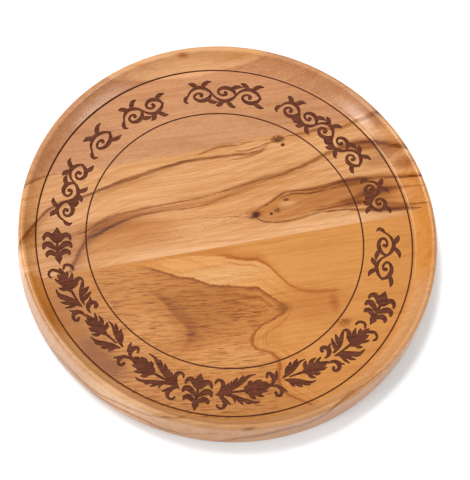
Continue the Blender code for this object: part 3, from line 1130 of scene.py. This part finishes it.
# and as (across, grain)
HEART_RIGHT = [
    (-132, 60), (-114, 30), (-96, 12), (-83, 15), (-80, 13.6), (-77, 11.4), (-74.5, 6.4), (-72.5, 2.8),
    (-70, 1.2), (-66, 2), (-62.5, 4.4), (-60, 8), (-57.5, 12.4), (-55.5, 18), (-54, 22), (-52, 25),
    (-49, 28), (-45, 40), (0, 60), (132, 60),
]
SPINE = [
    (-132, -40), (-90, -44), (-67, -40.6), (-62, -36.4), (-55, -34.6), (-48, -38), (-42, -42),
    (-35, -45.4), (-28, -52), (-20, -62), (132, -80),
]

# Streaks of the front board
POINT_ECHO = [
    (-132, -66, 0), (4, -67, 0.4), (9, -65.6, 1.4), (14, -63, 1.7), (20, -60, 1.7), (26, -55.6, 1.4),
    (30, -51, 0.4), (132, -51, 0),
]
POINT_SHADE = [
    (-132, -50, 0), (12, -58.4, 0.7), (18, -55.2, 2, 1.8), (24, -52, 3, 2.4), (29, -49, 0.6),
    (132, -49, 0),
]
BROWN_EDGE = [
    (-132, -41, 0), (34, -40, 0.3), (42, -41.4, 1.5, 2.2), (54, -42.6, 1.2, 2.2), (62, -43, 0.3),
    (132, -43, 0),
]
WALL_LINES = [
    [(-132, -36, 1), (-113, -62, 1.6), (-96, -88, 1.8), (-76, -104, 1.6), (-57, -116.5, 1),
     (-30, -122, 0.4), (0, -126, 0), (132, -130, 0)],
    [(-132, -40, 0), (-110, -68, 0.8), (-98, -83.4, 1.4), (-82, -95.4, 1.4), (-62, -105.7, 1.4),
     (-53, -106.8, 1.2), (-46, -108, 0.3), (-40, -108, 0), (132, -120, 0)],
    [(-132, -128, 0), (-40, -128, 0.3), (-23, -127.1, 1.4), (1, -126.1, 1.6), (33, -120.5, 1.8),
     (47, -111.5, 1.8), (59, -106, 1.2), (74, -98, 0.4), (132, -80, 0)],
]

# Patches inside the brown heart
HEART_PATCHES = [
    (-60, -52, 17, 13, 0.6, 0.7, YELLOW_HEART),
    (-12, -76, 24, 9, 0.6, 0.85, PALE_HEART),
    (-68, -22, 20, 11, 0.6, 0.8, RED_HEART),
]


class HeartShape:
    """The outline of the brown heart and the golden line above it, as distances in millimetres."""

    def __init__(self, wood):
        above = wood.line_of(HEART_TOP) - wood.across
        beside = wood.line_of(HEART_RIGHT, wood.across) - wood.grain
        jag = noise(vector_of(wood.tree, wood.grain / 2.6, wood.across / 1.4, 5.5), 2) - 0.5
        self.depth = lowest(above, beside) + jag * 2.2
        self.under_gold = wood.line_of(GOLDEN_LINE) - wood.across + jag * 1.4
        self.outside = ramp(self.depth, -0.8, 0.6, 1, 0)
        self.inner = ramp(self.depth, 0, 3)
        self.contour = noise(vector_of(wood.tree, self.depth / 1.1, wood.grain / 60, wood.across / 60))


def paint_front(wood):
    """Plain honey wood at the right, and a pointed brown heart with dark flecks at the left."""
    wood.base(PLAIN_HONEY)
    wood.zone(ramp(wood.stretched(80, 12, 13), 0.45, 0.66) * 0.5, BANDED_HONEY)
    heart = HeartShape(wood)
    paint_outside_heart(wood, heart)
    paint_heart(wood, heart)
    paint_heart_edge(wood, heart.depth)
    paint_golden_line(wood, heart.under_gold)
    paint_right_of_point(wood)
    paint_flecks(wood, heart)
    paint_near_rim_and_painted_light(wood)


def paint_outside_heart(wood, heart):
    """Pale wood outside the heart, under the golden line, with lines that follow the heart's edge."""
    between = ramp(heart.under_gold, -0.5, 1.5) * heart.outside
    pale_span = ramp(wood.grain, -56, -30) * ramp(wood.grain, 12, 34, 1, 0)
    wood.zone(between * ramp(wood.across, -42, -36) * pale_span, YELLOW_HONEY)
    wood.zone(between * wood.spot(-8, -23.6, 24, 6, 0.8) * 0.8, BRIGHT_HONEY)
    over_gold = ramp(heart.under_gold, -14, -2, 1, 0)
    wood.zone(ramp(wood.grain, -30, 10, 1, 0) * heart.outside * over_gold * 0.6, DULL_HONEY)
    echoes = ramp(heart.contour, 0.42, 0.60) * ramp(heart.depth, -24, -8)
    wood.stain(heart.outside * echoes * 0.6, CONTOUR)


def paint_heart(wood, heart):
    wood.zone(ramp(heart.depth, -0.6, 0.8), HEART)
    wood.zone(heart.inner * wood.spot(-27, -43, 29, 18, 0.7), DARK_HEART)
    echoes = wood.spot(10, -44, 17, 10, 0.6) * ramp(heart.contour, 0.46, 0.58)
    wood.stain(heart.inner * echoes, HEART_CONTOUR)
    for *place, strength, colour in HEART_PATCHES:
        wood.zone(heart.inner * wood.spot(*place) * strength, colour)
    back = wood.line_of(SPINE, wood.across) - wood.grain
    spine = ramp(back, -11, 0) * ramp(back, 0.5, 2.6, 1, 0)
    span = ramp(wood.across, -72, -60) * ramp(wood.across, -30, -24, 1, 0)
    wood.stain(spine * span * 0.75, HEART_SPINE)


def paint_heart_edge(wood, depth):
    """The heart's dark edge, strongest at the point."""
    shown = ramp(wood.grain, -62, -46)
    upper = ramp(wood.across, -54, -48)
    wood.stain(ramp(depth, 0.1, 5, 1, 0) * ramp(depth, -0.9, 0.2) * 0.5 * shown * upper, HEART_SIDE)
    edge = ramp(highest(depth * 0.5, depth * -0.9), 0.1, 0.9, 1, 0)
    wood.stain(edge * shown * upper * 0.9, HEART_EDGE)
    broad_edge = ramp(highest(depth * 0.3, depth * -0.6), 0.1, 0.9, 1, 0)
    wood.stain(broad_edge * (1 - upper), HEART_LOWER_EDGE)
    wood.stain(wood.spot(25, -49.4, 4.4, 2.6, 0.8), HEART_POINT)
    wood.stain(wood.streak(POINT_SHADE, 0.4) * 0.7, POINT_BROWN)


def paint_golden_line(wood, under_gold):
    """The golden line above the pale wood, its echo below, and a soft shade over it."""
    line = wood.streak([(grain, across, 3, 1.3) for grain, across in GOLDEN_LINE], 0.3)
    wood.stain(line * ramp(wood.grain, -14, 4) * ramp(wood.grain, 36, 46, 1, 0), GOLD)
    echo = wood.streak([(grain - 3, across - 2.8, 1, 0.9) for grain, across in GOLDEN_LINE], 0.3)
    wood.stain(echo * ramp(wood.grain, -10, 4) * ramp(wood.grain, 12, 20, 1, 0), GOLD_ECHO)
    over = ramp(under_gold, -10, 0) * ramp(under_gold, 0, 1, 1, 0)
    wood.stain(over * wood.spot(14, -12, 36, 13, 0.5) * 0.7, GOLD_SHADE)


def paint_right_of_point(wood):
    """Redder wood to the right of the heart's point, with a pin knot."""
    wood.zone(wood.spot(45, -50, 19, 11, 0.6) * 0.9, RED_HONEY)
    wood.stain(wood.spot(55.6, -51.6, 2.4, 5.4, 0.9) * 0.6, SMALL_SHADE)
    wood.stain(wood.streak(BROWN_EDGE, 0.3) * 0.8, EDGE_BROWN)
    wood.stain(wood.streak(POINT_ECHO, 0.3) * 0.7, POINT_ECHO_BROWN)
    speckle = ramp(wood.stretched(1.6, 1.2, 2.2), 0.34, 0.54)
    wood.stain(wood.spot(59, -65, 3.6, 2.8, 0.6) * speckle, RIGHT_KNOT)
    wood.zone(wood.spot(57, -65, 9, 4, 0.7) * 0.4, RED_HONEY)


def paint_flecks(wood, heart):
    """Dark flecks along the fibres, strong in the heart and faint elsewhere."""
    fleck = ramp(wood.stretched(10, 0.62, 21, 2.5, tilt=0.08), 0.555, 0.65)
    broad = ramp(wood.stretched(13, 1.5, 23, 2, tilt=0.1), 0.50, 0.66)
    left = ramp(wood.grain, -96, -80) * ramp(wood.grain, 2, 24, 1, 0)
    wood.stain(heart.inner * left * fleck, FLECK)
    wood.stain(heart.inner * left * broad * 0.7, BROAD_FLECK)
    wood.stain(heart.outside * fleck * ramp(wood.grain, -20, 20, 1, 0) * 0.35, FAINT_FLECK)


def paint_near_rim_and_painted_light(wood):
    """A dark crescent by the outer circle at the left, and the rim and side beyond it, with painted light:
    the near inner face of the rim lightened as if lit, painted shade on the outer side, and a painted
    reflection of the white floor at the near left.
    """
    radius = wood.radius()
    crescent = wood.spot(-88, -63, 16, 17, 0.5) * ramp(radius, 99, 110) * ramp(radius, 116, 118, 1, 0)
    wood.stain(crescent * 0.85, CRESCENT)
    wood.stain(wood.spot(-106, -36, 14, 24, 0.6) * 0.6, LEFT_SHADE)
    # Painted light: the inner face of the rim on the near side is lightened as if lit
    near = ramp(wood.true_across, -58, -34, 1, 0)
    wood.zone(ramp(radius, 115.5, 118) * near * 0.75, LIT_COVE_HONEY)
    # Painted shade: the outer side of the rim is darkened all round the front board
    wood.zone(ramp(radius, 124, 126) * 0.8, SHADED_SIDE_BROWN)
    # Painted reflection of the white floor: the rim's near left side is lightened
    wood.zone(wood.spot(-84, -92, 26, 16, 0.5) * ramp(radius, 119, 122) * 0.6, FLOOR_REFLECTION_PALE)
    for points in WALL_LINES:
        wood.stain(wood.streak(points, 0.3) * ramp(radius, 116, 120), WALL_STRAND)
    wood.stain(wood.spot(-12, -121, 3.6, 1.1, 0.9) * 0.8, WALL_KNOT)


def finish_wood(wood, shader):
    """Fibres, pores and turning marks common to both boards, then the satin lacquer."""
    tree = wood.tree
    fibre = wood.stretched(34, 0.34, 31, 3, 0.6)
    wood.stain(ramp(fibre, 0.42, 0.66) * 0.75, FIBRE)
    wood.stain(ramp(wood.stretched(90, 2.6, 37), 0.46, 0.64) * 0.7, BAND)
    pore = ramp(wood.stretched(3.4, 0.16, 41, 1), 0.66, 0.74)
    wood.stain(pore * 0.5, PORE)
    wood.stain(ramp(wood.stretched(7, 1.6, 45, 4, 0.7), 0.35, 0.65) * 0.6, MOTTLE)
    lit = blend(tree, 1.0, wood.colour, VEIL, "SUBTRACT")
    colour = blend(tree, 1.0, lit, (SHADE, SHADE, SHADE), "MULTIPLY")
    feed(tree, shader.inputs["Base Color"], colour)
    feed(tree, shader.inputs["Roughness"], 0.42 + fibre * 0.12)
    shader.inputs["Specular IOR Level"].default_value = 0.1
    shader.inputs["Coat Weight"].default_value = 0.5
    shader.inputs["Coat Roughness"].default_value = 0.2
    shader.inputs["Coat IOR"].default_value = 1.5
    radius = wood.radius()
    turning = noise(vector_of(tree, radius / 0.6, 0.2, wood.rise / 0.8), 2)
    height = fibre * 0.35 - pore * 0.6 + turning * ramp(radius, 115, 118) * 7
    normal = add_bump(shader, height, 0.35, 0.00006)
    feed(tree, shader.inputs["Coat Normal"], normal)


def new_material(name):
    material = bpy.data.materials.new(name)
    material.use_nodes = True
    return material, material.node_tree, material.node_tree.nodes["Principled BSDF"]


def wood_material(name, paint):
    material, tree, shader = new_material(name)
    wood = Figure(tree)
    paint(wood)
    finish_wood(wood, shader)
    return material


def burnt_material():
    """Charred floor of the engraving: the fibres still show, and its shallower parts are darkest."""
    material, tree, shader = new_material("burnt_olive")
    wood = Figure(tree)
    deepest = -ENGRAVING_DEPTH * PER_METRE
    wood.base(BURNT)
    wood.zone(ramp(wood.stretched(9, 0.7, 51), 0.4, 0.66) * 0.8, BURNT_DARK)
    wood.zone(ramp(wood.stretched(2.2, 2.2, 53), 0.5, 0.7) * 0.5, BURNT_WARM)
    wood.zone(ramp(wood.rise, deepest, deepest * 0.6) * 0.8, BURNT_DARK)
    feed(tree, shader.inputs["Base Color"], wood.colour)
    shader.inputs["Roughness"].default_value = 0.8
    shader.inputs["Specular IOR Level"].default_value = 0.05
    add_bump(shader, wood.stretched(4, 0.4, 57, 4), 0.5, 0.0001)
    return material


def glue_material():
    material, tree, shader = new_material("dried_glue")
    wood = Figure(tree)
    wood.base(GLUE)
    wood.zone(ramp(wood.stretched(8, 1, 61), 0.4, 0.6), GLUE_PALE)
    feed(tree, shader.inputs["Base Color"], wood.colour)
    feed(tree, shader.inputs["Roughness"], 0.35 + wood.stretched(3, 1, 63) * 0.2)
    return material


# Assembly

def engraving_cutters():
    """The border and the two circles as cutters that leave burnt wood behind."""
    engraving = Engraving()
    add_flowers(engraving)
    add_sprays(engraving)
    add_scrolls(engraving)
    cutters = [engraving_cutter(engraving)]
    cutters += [ring_cutter(index, radius) for index, radius in enumerate(RING_RADII)]
    burnt = burnt_material()
    for cutter in cutters:
        cutter.data.materials.append(burnt)
    return cutters


def main():
    add_camera()
    add_studio()
    add_floor()
    cutters = engraving_cutters()
    rear_wood = wood_material("figured_olive", paint_rear)
    front_wood = wood_material("honey_olive", paint_front)
    rear = add_board("rear_olive_board", 1, cutters, rear_wood)
    front = add_board("front_olive_board", -1, cutters, front_wood)
    film = add_glue_film(glue_material())
    for cutter in cutters:
        bpy.data.objects.remove(cutter)
    for piece, node, slot in (
        (rear, "rear_board", "figured_olive"),
        (front, "front_board", "honey_olive"),
        (film, "glue_line", "dried_glue"),
    ):
        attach(piece, "root")
        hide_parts(node)


main()
